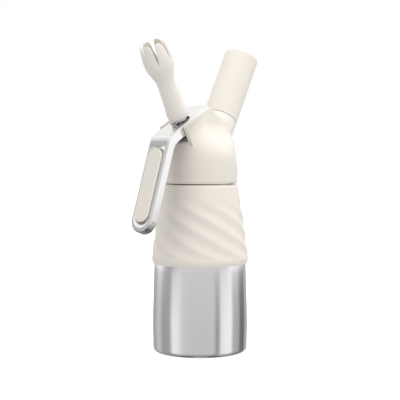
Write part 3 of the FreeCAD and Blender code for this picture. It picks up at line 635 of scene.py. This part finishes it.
@dataclass
class Vessel:
    """The steel bottle and its fluted grip sleeve."""

    foot_inner: float = 28.4
    foot_outer: float = 30.2
    foot_depth: float = 1.6
    floor: float = 2.6
    belly_radius: float = 39.6
    belly_height: float = 9.0
    widest_radius: float = 40.0
    widest_height: float = 26.0
    waist_radius: float = 38.5
    waist_height: float = 74.0
    shoulder_radius: float = 37.6
    shoulder_height: float = 86.0
    neck_radius: float = 24.0
    neck_height: float = 106.0
    mouth: float = 150.0
    wall: float = 1.0
    thread_pitch: float = 4.0
    thread_depth: float = 0.2
    thread_span: tuple[float, float] = (136.0, 149.0)
    bottle_segments: int = 192

    sleeve_bottom: float = 74.2
    sleeve_top: float = 139.4
    sleeve_gap: float = 0.2
    bulge_height: float = 79.0
    bulge_radius: float = 40.6
    lip_radius: float = 39.5
    top_radius: float = 31.9
    collar_radius: float = 30.2
    collar_top: float = 140.6
    flutes: int = 9
    flute_depth: float = 0.46
    flute_margins: tuple[float, float] = (3.0, 4.0)
    flute_fades: tuple[float, float] = (9.0, 24.0)
    twist: float = 2.67
    phase: float = 224.5
    phase_height: float = 107.0
    sleeve_segments: int = 360

    def build(self, finishes: Finishes) -> None:
        """Builds both pieces."""
        self.build_bottle(finishes)
        self.build_sleeve(finishes)

    def build_bottle(self, finishes: Finishes) -> None:
        """Turns the bottle's wall: up its outside, over the mouth and down its inside.

        The neck has a low thread, a ridge of depth * max(cos(2 pi (z / pitch - a / 2 pi)), 0).
        """
        wall, neck = self.wall, self.neck_radius
        outside = [
            (0.0, self.foot_depth, 0.0),
            (self.foot_inner, self.foot_depth, 1.4),
            (self.foot_outer, 0.0, 1.2),
            (self.belly_radius - 0.15, 0.0, 3.6),
            (self.belly_radius + 0.05, self.belly_height, 4.0),
            (self.widest_radius, self.widest_height, 10.0),
            (self.waist_radius, self.waist_height, 6.0),
            (self.shoulder_radius, self.shoulder_height, 7.0),
            (neck, self.neck_height, 7.0),
            (neck, self.mouth, 0.4),
            (neck - wall, self.mouth, 0.4),
        ]
        inside = [
            (neck - wall, self.neck_height + 0.4, 7.0),
            (self.shoulder_radius - wall, self.shoulder_height - 0.2, 7.0),
            (self.waist_radius - wall, self.waist_height, 6.0),
            (self.widest_radius - wall, self.widest_height, 10.0),
            (self.belly_radius - wall, self.belly_height, 4.0),
            (self.belly_radius - wall - 0.2, self.floor, 3.0),
            (0.0, self.floor, 0.0),
        ]
        path = refine(rounded_path(outside + inside), 1.0)
        height, low_high = path[:, 1:], self.thread_span
        turns = height / self.thread_pitch - ring_angles(self.bottle_segments) / TURN
        ridge = np.clip(np.cos(TURN * turns), 0.0, 1.0) * self.thread_depth
        on_outside = path[:, :1] > neck - 0.1
        on_thread = on_outside & (height > low_high[0]) & (height < low_high[1])
        grid = UPRIGHT.place(turned(path, self.bottle_segments, ridge * on_thread))
        faces = grid_faces(len(path), self.bottle_segments)
        piece("Bottle", grid, faces, finishes.bottle, ["bottle"])

    def skin_radius(self, height: np.ndarray) -> np.ndarray:
        """The sleeve's mean radius: a rounded lip, then a nearly straight taper to its top edge."""
        rise = height - self.bulge_height
        low = np.clip(-rise / (self.bulge_height - self.sleeve_bottom), 0.0, 1.0)
        high = np.clip(rise / (self.sleeve_top - self.bulge_height), 0.0, 1.0)
        lip = (self.bulge_radius - self.lip_radius) * low**2.4
        taper = (self.bulge_radius - self.top_radius) * (0.12 * high**2 + 0.88 * high)
        return self.bulge_radius - lip - taper

    def flute(self, height: np.ndarray, angle: np.ndarray) -> np.ndarray:
        """What the flutes add to the radius: rounded ribs between narrow valleys.

        With w = n (a - start), which winds round as the height falls, each flute is
        -depth (0.45 cos w + 0.55 (2 |cos(w / 2)| - 1)). It fades out smoothly at both ends.
        """
        spans = (height - self.sleeve_bottom, self.sleeve_top - height)
        strength = 1.0
        for span, margin, fade in zip(spans, self.flute_margins, self.flute_fades):
            share = np.clip((span - margin) / fade, 0.0, 1.0)
            strength = strength * share**2 * (3 - 2 * share)
        start = np.radians(self.phase - self.twist * (height - self.phase_height))
        wave = self.flutes * (angle - start)
        valley = 2.0 * np.sqrt(np.cos(wave / 2) ** 2 + 0.02) - 1.0
        return -self.flute_depth * strength * (0.45 * np.cos(wave) + 0.55 * valley)

    def build_sleeve(self, finishes: Finishes) -> None:
        """Turns the sleeve as a closed loop of rows: its fluted outside, then its smooth seat."""
        top, lip_rows, lip_height, rows = self.sleeve_top, 9, 4.8, 96
        lip = self.sleeve_bottom + np.linspace(0, 1, lip_rows)[:-1] ** 2 * lip_height
        side = np.linspace(self.sleeve_bottom + lip_height, top, rows)
        height = np.concatenate((lip, side))
        outside = np.stack((self.skin_radius(height), height), 1)
        outside[-2:, 0] -= (0.12, 0.5)  # the top edge is eased
        seat = [
            (self.collar_radius, top, 0.2),
            (self.collar_radius - 0.1, self.collar_top, 0.3),
            (self.neck_radius + self.sleeve_gap, self.collar_top, 0.3),
            (self.neck_radius + self.sleeve_gap, self.neck_height + 0.4, 7.0),
            (self.shoulder_radius + self.sleeve_gap, self.shoulder_height + 0.2, 7.0),
            (self.waist_radius + self.sleeve_gap, self.sleeve_bottom, 0.0),
        ]
        path = np.concatenate((outside, refine(rounded_path(seat), 3.0)))
        ripple = np.zeros((len(path), self.sleeve_segments))
        angle = ring_angles(self.sleeve_segments)
        ripple[: len(outside)] = self.flute(height[:, None], angle[None, :])
        grid = UPRIGHT.place(turned(path, self.sleeve_segments, ripple))
        faces = grid_faces(len(path), self.sleeve_segments, loop=True)
        piece("Grip_sleeve", grid, faces, finishes.silicone, ["sleeve"])


@dataclass
class Head:
    """The moulded head, its fittings round the mouth and the charger's inlet."""

    foot: float = 141.4
    foot_edge: float = 0.85
    skirt_radius: float = 28.5
    eased_from: float = 153.0
    eased_to: float = 164.0

    def build(self, finishes: Finishes) -> None:
        """Dresses the head's pieces."""
        cover = smoothed("head_shell", "Head_cover", finishes.plastic)
        self.ease_skirt(cover.data)
        smoothed("inlet_body", "Inlet", finishes.aluminium)
        smoothed("valve_guide", "Guide_bush", finishes.fittings)
        smoothed("thread_ring", "Mouth_ring", finishes.aluminium)
        dress(finishes.seal, "head_gasket", "charger_seal")
        dress(finishes.fittings, "pivot_pin", "piercing_pin", "check_valve", "spring_seat")

    def ease_skirt(self, mesh: Mesh) -> None:
        """Lets the skirt's shading flow into the shoulder's.

        The corner normals of the outer skin turn to the outward radius: fully below one height,
        and less and less from there up to another.

        Args:
            mesh: The head's mesh, whose custom normals are set.
        """
        count = len(mesh.loops)
        normals = np.empty(count * 3, np.float32)
        mesh.corner_normals.foreach_get("vector", normals)
        corners = np.empty(count, np.int32)
        mesh.loops.foreach_get("vertex_index", corners)
        spots = np.empty(len(mesh.vertices) * 3, np.float32)
        mesh.vertices.foreach_get("co", spots)
        normals, spot = normals.reshape(-1, 3), spots.reshape(-1, 3)[corners] / MM
        reach, height = np.hypot(spot[:, 0], spot[:, 1]), spot[:, 2]
        outward = spot / np.maximum(reach, 1e-6)[:, None]
        outward[:, 2] = 0.0
        faces_out = (normals * outward).sum(1) > -0.2
        on_skin = faces_out & (reach > self.skirt_radius) & (height > self.foot + self.foot_edge)
        fade = (self.eased_to - height) / (self.eased_to - self.eased_from)
        weight = (np.clip(fade, 0.0, 1.0) * on_skin)[:, None]
        mixed = normals * (1 - weight) + outward * weight
        mixed /= np.linalg.norm(mixed, axis=1, keepdims=True)
        mesh.normals_split_custom_set(mixed.tolist())


@dataclass
class Lever:
    """The pressed steel lever with its plastic pad and the yoke under it.

    Attributes:
        bend: Where the bend's sharp corner is along the plate, on the nozzle's axes.
        rim_level: How high the plate's face is, on the nozzle's axes.
        turn: The bend's angle.
        depth: How deep the flanges are.
        cad_radius: The bend's radius in the CAD part.
        face_radius: The visible radius of the lever's faces.
        rim_radius: The visible radius of the flanges' rims.
        slice_gap: How far apart the slices across the bend are.
    """

    bend: float = -28.5
    rim_level: float = 52.0
    turn: float = 41.2
    depth: float = 8.0
    cad_radius: float = 3.5
    face_radius: float = 10.0
    rim_radius: float = 16.0
    slice_gap: float = 0.45

    def build(self, finishes: Finishes) -> None:
        """Dresses the lever's pieces."""
        smoothed("lever_frame", "Lever_channel", finishes.lever, self.round_bend)
        smoothed("lever_pad", "Thumb_pad", finishes.pad)
        dress(finishes.fittings, "lever_yoke")

    @property
    def half(self) -> float:
        """Half of the bend's angle, in radians."""
        return math.radians(self.turn / 2)

    def bend_depth(self, across: np.ndarray, radius: float) -> np.ndarray:
        """How deep a bend lies under its sharp corner.

        For an angle of 2a it is R / cos a - sqrt(R^2 - s^2) where |s| < R sin a, and |s| tan a
        beyond.

        Args:
            across: The distances s across the bend.
            radius: The bend's radius R.

        Returns:
            The depth at each distance.
        """
        arc = radius / math.cos(self.half) - np.sqrt(np.maximum(radius**2 - across**2, 0.0))
        straight = np.abs(across) * math.tan(self.half)
        return np.where(np.abs(across) < radius * math.sin(self.half), arc, straight)

    def round_bend(self, shape: BMesh) -> None:
        """Eases the bend between plate and handle.

        The mesh is sliced across the bend. Each vertex near it then moves inwards, so that the
        faces get one radius and the flanges' rims another.

        Args:
            shape: The lever's merged mesh, in metres.
        """
        sine, cosine = math.sin(self.half), math.cos(self.half)
        local = np.array(((0.0, 0.0, 0.0), (cosine, 0.0, sine), (sine, 0.0, -cosine)))
        corner, *ends = NOZZLE_AXIS.place(local + (self.bend, 0.0, self.rim_level))
        axes = np.array([(end - corner) / MM for end in ends])
        inward = axes[1]

        def measure() -> np.ndarray:
            """Each vertex's distance across the bend and its depth under the sharp corner."""
            return ((np.array([vert.co for vert in shape.verts]) - corner) / MM @ axes.T).T

        across, depth = measure()
        edge = self.cad_radius * sine
        off_arc = np.abs(depth - self.bend_depth(across, self.cad_radius))
        on_arc = (np.abs(across) < edge) & (off_arc < 0.03)
        arc = {(round(a, 3), round(b, 4)) for a, b in zip(across[on_arc], depth[on_arc])}
        ends_of_arc = {(side * edge, edge * math.tan(self.half)) for side in (-1, 1)}
        arc_across, arc_depth = np.array(sorted(arc | ends_of_arc)).T

        reach = self.rim_radius * sine
        for at in np.arange(-reach, reach + self.slice_gap, self.slice_gap):
            bmesh.ops.bisect_plane(
                shape,
                geom=[*shape.verts, *shape.edges, *shape.faces],
                dist=1e-6,
                plane_co=corner + axes[0] * at * MM,
                plane_no=axes[0],
            )
        across, depth = measure()
        straight = np.abs(across) * math.tan(self.half)
        old = np.where(np.abs(across) < edge, np.interp(across, arc_across, arc_depth), straight)
        under = np.clip((depth - old) / (self.depth / cosine), 0.0, 1.0)
        face_shift = self.bend_depth(across, self.face_radius) - old
        rim_shift = self.bend_depth(across, self.rim_radius) - straight
        shift = (1 - under) * face_shift + under * rim_shift
        for vert, move in zip(shape.verts, shift[:, None] * inward * MM):
            vert.co += Vector(move)


@dataclass
class Valve:
    """The sliding stem with its seals, collar and spring."""

    floor: float = 33.6
    top: float = 44.0
    coil_radius: float = 6.65
    wire: float = 0.55
    turns: float = 6.0
    end_share: float = 0.17
    end_rise: float = 0.11
    pressed: float = 0.68
    rows: int = 260
    sides: int = 14

    def build(self, finishes: Finishes) -> None:
        """Builds the spring and dresses the rest."""
        smoothed("valve_stem", "Stem", finishes.fittings)
        dress(finishes.fittings, "push_collar")
        dress(finishes.seal, "poppet_seal", "stem_o_ring", "tip_seal")
        self.build_spring(finishes)

    def build_spring(self, finishes: Finishes) -> None:
        """Carries a round wire along a helix.

        Its end turns lie nearly flat: each takes end_share of the wire and end_rise of the height.
        The wire closes at both ends, where its radius falls to 0.
        """
        share = np.linspace(0.0, 1.0, self.rows)
        end = self.end_share
        eased = np.clip((share - end) / (1 - 2 * end), 0.0, 1.0)
        closed = np.clip(share / end, 0.0, 1.0) + np.clip((share - 1 + end) / end, 0.0, 1.0)
        rise = self.end_rise * closed + (1 - 2 * self.end_rise) * eased
        height = self.floor + (self.top - self.floor) * rise
        around = TURN * self.turns * share
        outward = np.stack((np.cos(around), np.sin(around), np.zeros(self.rows)), -1)
        up = np.array((0.0, 0.0, 1.0))
        centre = outward * self.coil_radius + height[:, None] * up
        section = ring_angles(self.sides)[None, :, None]
        tube = outward[:, None] * np.cos(section) + up * np.sin(section)
        thickness = self.wire * np.sqrt(np.clip(1 - (2 * share - 1) ** 60, 0.0, 1.0))
        grid = NOZZLE_AXIS.place(centre[:, None] + tube * thickness[:, None, None])
        faces = grid_faces(self.rows, self.sides)
        nodes = ["valve_spring"]
        thing = piece("Valve_spring", grid, faces, finishes.wire, nodes)
        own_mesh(thing)


@dataclass
class Nozzle:
    """The decorating nozzle: a waisted tube that opens into six petals."""

    PROFILE = (
        (55.0, 7.7), (55.3, 8.1), (56.0, 8.3), (69.0, 8.2), (78.0, 7.8),
        (85.2, 7.5), (90.0, 7.95), (95.5, 9.75), (100.0, 11.4), (104.5, 12.0),
        (110.0, 11.9), (117.0, 11.0), (124.0, 9.2),
    )

    start: float = 55.0
    tip: float = 121.8
    notch_start: float = 106.0
    notch_width: float = 4.4
    notch_root: float = 0.35
    wall: float = 1.5
    petals: int = 6
    first_notch: float = 42.0
    tip_round: float = 3.4
    rows: int = 220
    columns: int = 33

    def outline(self, height: np.ndarray) -> np.ndarray:
        """The outside radius, by cubic curves through the profile's heights and radii.

        Between two levels a gap g apart, with radii p and q and slopes m and n, the radius is
        (2t^3 - 3t^2 + 1) p + (t^3 - 2t^2 + t) g m + (3t^2 - 2t^3) q + (t^3 - t^2) g n.

        Args:
            height: Heights along the nozzle's axis.

        Returns:
            The radius at each height.
        """
        level, radius = np.array(self.PROFILE).T
        slope = np.gradient(radius, level)
        at = np.clip(np.searchsorted(level, height, side="right") - 1, 0, len(level) - 2)
        gap = level[at + 1] - level[at]
        t = (height - level[at]) / gap
        return (
            (2 * t**3 - 3 * t**2 + 1) * radius[at]
            + (t**3 - 2 * t**2 + t) * gap * slope[at]
            + (3 * t**2 - 2 * t**3) * radius[at + 1]
            + (t**3 - t**2) * gap * slope[at + 1]
        )

    def build(self, finishes: Finishes) -> None:
        """Builds each petal's sector as two skins joined round its free edges.

        A sector's half angle is pi / n less the notch's at that height, asin(notch / radius). The
        petal's tip falls towards its sides, and the skins meet in a rounded edge.
        """
        skin = grid_faces(self.rows, self.columns, ring=False)
        share = (1 - (1 - np.linspace(0.0, 1.0, self.rows)) ** 1.5)[:, None]
        across = np.sin(np.linspace(-np.pi / 2, np.pi / 2, self.columns))[None, :]
        crown = self.tip - self.tip_round * (1 - np.sqrt(1 - 0.995 * across**4))
        height = self.start + (crown - self.start) * share
        radius = self.outline(height)

        opened = (height - self.notch_start) / (self.tip - self.notch_start)
        opened = np.clip(opened, 0.0, 1.0)
        widening = (self.notch_width / 2 - self.notch_root) * opened
        notch = (self.notch_root * opened**0.25 + widening) * (opened > 0)
        half = math.pi / self.petals - np.arcsin(np.clip(notch / radius, 0.0, 1.0))

        thin = self.wall / 2
        below = 1 - np.clip(opened * 25, 0.0, 1.0)  # 1 where the petals are still one tube
        side = (1 - np.abs(across)) * half * radius + below * thin
        free = np.minimum(np.minimum(side, crown - height), height - self.start)
        ease = np.sqrt(np.clip(1 - (1 - np.clip(free / thin, 0.0, 1.0)) ** 2, 0.0, 1.0))

        grids, faces = [], []
        for petal in range(self.petals):
            middle = math.radians(self.first_notch + (petal + 0.5) * 360.0 / self.petals)
            angle = middle + across * half
            for way in (1.0, -1.0):
                reach = radius - thin + way * thin * ease
                grid = np.stack((reach * np.cos(angle), reach * np.sin(angle), height), -1)
                faces.append((skin if way > 0 else skin[:, ::-1]) + len(grids) * grid[..., 0].size)
                grids.append(grid.reshape(-1, 3))
        points, quads = NOZZLE_AXIS.place(np.concatenate(grids)), np.concatenate(faces)
        nodes = ["decorating_nozzle"]
        piece("Piping_nozzle", points, quads, finishes.nozzle, nodes, sharp=180.0)


@dataclass
class Charger:
    """The gas charger and the holder that screws over it, with its threaded ring."""

    radius: float = 14.8
    start: float = 55.3
    end: float = 117.0
    wall: float = 2.2
    mouth_wall: float = 1.5
    mouth_end: float = 66.0
    bore: float = 9.3
    segments: int = 128

    def build(self, finishes: Finishes) -> None:
        """Builds the holder and dresses the rest."""
        smoothed("gas_charger", "Gas_charger", finishes.wire)
        smoothed("holder_ring", "Holder_ring", finishes.aluminium)
        corners = [
            (0.0, self.end - 0.15, 0.0),
            (self.radius - 3.4, self.end, 2.0),
            (self.radius, self.end, 1.9),
            (self.radius, self.start, 0.5),
            (self.radius - self.mouth_wall, self.start, 0.2),
            (self.radius - self.mouth_wall, self.mouth_end, 0.2),
            (self.bore, self.mouth_end, 0.4),
            (self.bore, self.end - self.wall, 1.5),
            (0.0, self.end - self.wall, 0.0),
        ]
        path = refine(rounded_path(corners), 2.0)
        grid = CHARGER_AXIS.place(turned(path, self.segments))
        faces = grid_faces(len(path), self.segments)
        piece("Holder", grid, faces, finishes.plastic, ["charger_holder"])


# Studio


def grey(value: float) -> tuple[float, float, float, float]:
    """A grey as red, green, blue and alpha."""
    return (value, value, value, 1.0)


@dataclass(frozen=True)
class Light:
    """A square soft light.

    Attributes:
        name: Its name.
        spot: Where it stands, in metres.
        aim_height: The height on the object's axis that it faces.
        size: Its side.
        power: Its watts.
    """

    name: str
    spot: Point
    aim_height: float
    size: float
    power: float


@dataclass
class Studio:
    """A white studio: pale floor, soft lights, camera, and a ring of cards that only gloss sees.

    Attributes:
        eye: Where the camera stands, in metres.
        aim_height: The height on the object's axis that it faces.
        lens: Its focal length in millimetres.
        fill: The world's strength where it lights rough surfaces.
        floor_size: The floor's side.
        floor_level: The floor's height, just under the foot.
        floor_glow: The floor's own light, which keeps it white behind the object.
        ring_radius: The ring's radius.
        ring_reach: How far the ring goes up and down.
        ring_hole: The radius of the hole in the ring's bottom.
        ring_segments: How many flat cards stand for the ring.
        ring_turn: How far the bands' angles are turned, so that 0 faces the camera.
        ring_strength: The strength of a white card.
    """

    # Pairs of degrees round the ring and lightness, for reflections that run below the level of
    # the foot and above it.
    LOW_CARDS = (
        (-180, 0.32), (-137, 0.36), (-122, 0.52), (-110, 0.44), (-102, 0.30),
        (-78, 0.32), (-70, 0.80), (-54, 0.76), (-44, 0.57), (-30, 0.52),
        (0, 0.50), (34, 0.52), (40, 0.24), (46, 0.28), (52, 0.76),
        (80, 0.86), (87, 0.38), (107, 0.36), (114, 0.14), (132, 0.14),
        (142, 0.42), (180, 0.32),
    )
    HIGH_CARDS = (
        (-180, 0.78), (-150, 0.80), (-140, 1.00), (-112, 1.00), (-104, 0.76),
        (-96, 0.54), (-89, 0.42), (-81, 0.35), (-70, 0.34), (-50, 0.58),
        (70, 0.60), (84, 0.92), (128, 0.92), (142, 0.60), (180, 0.78),
    )
    LIGHTS = (
        Light("Top light", (0.15, -0.1, 1.3), 0.1, 0.9, 8.5),
        Light("Front light", (-0.10, -1.30, 0.65), 0.12, 0.7, 4.6),
        Light("Left light", (-1.2, 0.35, 0.45), 0.12, 0.7, 1.6),
    )

    eye: Point = (-0.6665, -0.5592, 0.171)
    aim_height: float = 0.1270
    lens: float = 93.0
    fill: float = 0.66
    floor_size: float = 6.0
    floor_level: float = -0.0002
    floor_glow: float = 0.62
    ring_radius: float = 1.6
    ring_reach: float = 1.6
    ring_hole: float = 0.3
    ring_segments: int = 180
    ring_turn: float = -219.996
    ring_strength: float = 1.15

    def build(self) -> None:
        """Builds the studio."""
        self.build_world()
        self.build_floor()
        self.build_cards()
        for light in self.LIGHTS:
            self.add_light(light)
        data = bpy.data.cameras.new("Camera")
        data.lens = self.lens
        data.clip_start = 0.01
        camera = add_object("Camera", data)
        camera.location = self.eye
        self.face(camera, self.aim_height)
        bpy.context.scene.camera = camera
        bpy.context.scene.view_settings.view_transform = "Standard"

    def face(self, thing: Object, height: float) -> None:
        """Turns a camera or light to a height on the object's axis."""
        way = Vector((0.0, 0.0, height)) - Vector(thing.location)
        thing.rotation_euler = way.to_track_quat("-Z", "Y").to_euler()

    def add_light(self, light: Light) -> None:
        """Adds a light that gloss doesn't see."""
        data = bpy.data.lights.new(light.name, "AREA")
        data.size = light.size
        data.energy = light.power
        thing = add_object(light.name, data)
        thing.location = light.spot
        self.face(thing, light.aim_height)
        thing.visible_glossy = False

    def build_world(self) -> None:
        """White behind the object and in its gloss, and a softer white as its light."""
        world = bpy.data.worlds.new("White room")
        world.use_nodes = True
        tree = Tree(world.node_tree)
        world.node_tree.nodes.clear()
        path = tree.add("LightPath")
        bright = self.fill
        for ray in ("Is Camera Ray", "Is Glossy Ray"):
            bright = tree.math("MULTIPLY_ADD", path.outputs[ray], 1.0 - self.fill, bright)
        room = tree.add("Background", Color=WHITE, Strength=bright)
        out = tree.add("OutputWorld")
        tree.fill(out, Surface=room.outputs[0])
        bpy.context.scene.world = world

    def build_floor(self) -> None:
        """A plain pale floor, a wide square just under the foot."""
        half = self.floor_size / 2
        ways = ((-1, -1), (1, -1), (1, 1), (-1, 1))
        corners = [(half * x, half * y, self.floor_level) for x, y in ways]
        mesh = bpy.data.meshes.new("Floor")
        mesh.from_pydata(corners, [], [(0, 1, 2, 3)])
        material, tree, skin = new_material("Pale floor")
        tree.fill(skin, Base_Color=grey(0.90), Roughness=0.6)
        tree.fill(skin, Emission_Color=WHITE, Emission_Strength=self.floor_glow)
        mesh.materials.append(material)
        floor = add_object("Floor", mesh)
        floor.visible_glossy = False
        floor.visible_diffuse = False

    def card_ramp(
        self, tree: Tree, share: NodeSocket, bands: Sequence[tuple[float, float]]
    ) -> NodeSocket:
        """A grey for each angle round the ring.

        Args:
            tree: The cards' shader tree.
            share: The angle, as 0 to 1 for -180 to 180 degrees.
            bands: Pairs of degrees and lightness.

        Returns:
            The colour output.
        """
        ramp = tree.add("ValToRGB", Fac=share)
        steps = ramp.color_ramp.elements
        while len(steps) < len(bands):
            steps.new(0.5)
        for step, (degrees, value) in zip(steps, bands):
            step.position = 0.5 + degrees / 360.0
            step.color = grey(value)
        return ramp.outputs["Color"]

    def card_material(self) -> Material:
        """The cards' glow: bands by angle and level, greyer far down and dark at the bottom."""
        material, tree, _ = new_material("Light and dark cards")
        material.node_tree.nodes.clear()
        place = tree.add("TexCoord")
        turn = tree.add("Mapping", Vector=place.outputs["Object"])
        tree.fill(turn, Rotation=(0.0, 0.0, math.radians(self.ring_turn)))
        x, y, level = tree.add("SeparateXYZ", Vector=turn.outputs[0]).outputs
        around = tree.math("ARCTAN2", y, x)
        share = tree.math("MULTIPLY_ADD", around, 1.0 / TURN, 0.5)
        outward = tree.math("MULTIPLY_ADD", y, y, tree.math("MULTIPLY", x, x))
        shown = self.card_ramp(tree, share, self.LOW_CARDS)
        high = self.card_ramp(tree, share, self.HIGH_CARDS)
        # What each layer goes by, where it starts and is full, how much it covers, and its colour.
        # The last goes by the square of the distance from the ring's axis.
        layers = (
            (level, -0.09, 0.0, 1.0, high),
            (level, -0.45, -0.9, 0.6, grey(0.20)),
            (outward, 1.5, 0.9, 0.85, grey(0.02)),
        )
        for measure, start, full, most, colour in layers:
            part = tree.add("MapRange", From_Min=start, From_Max=full, To_Max=most, Value=measure)
            shown = tree.mix(part.outputs[0], shown, colour)
        glow = tree.add("Emission", Color=shown, Strength=self.ring_strength)
        out = tree.add("OutputMaterial")
        tree.fill(out, Surface=glow.outputs[0])
        return material

    def build_cards(self) -> None:
        """An upright ring with a flat bottom, which only gloss sees."""
        hole, radius, reach = self.ring_hole, self.ring_radius, self.ring_reach
        path = np.array(((hole, -reach), (radius, -reach), (radius, reach)))
        grid = turned(path, self.ring_segments).reshape(-1, 3)
        faces = grid_faces(len(path), self.ring_segments)
        mesh = bpy.data.meshes.new("Cards")
        mesh.from_pydata(grid.tolist(), [], faces.tolist())
        mesh.materials.append(self.card_material())
        cards = add_object("Cards", mesh)
        cards.visible_camera = False
        cards.visible_diffuse = False
        cards.visible_shadow = False
        cards.visible_transmission = False


def main() -> None:
    logging.basicConfig(level=logging.INFO, format="%(message)s")
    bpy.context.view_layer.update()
    finishes = Finishes()
    for part in (Vessel(), Head(), Lever(), Valve(), Nozzle(), Charger()):
        LOG.info("building %s", type(part).__name__)
        part.build(finishes)
    Studio().build()


if __name__ == "__main__":
    main()
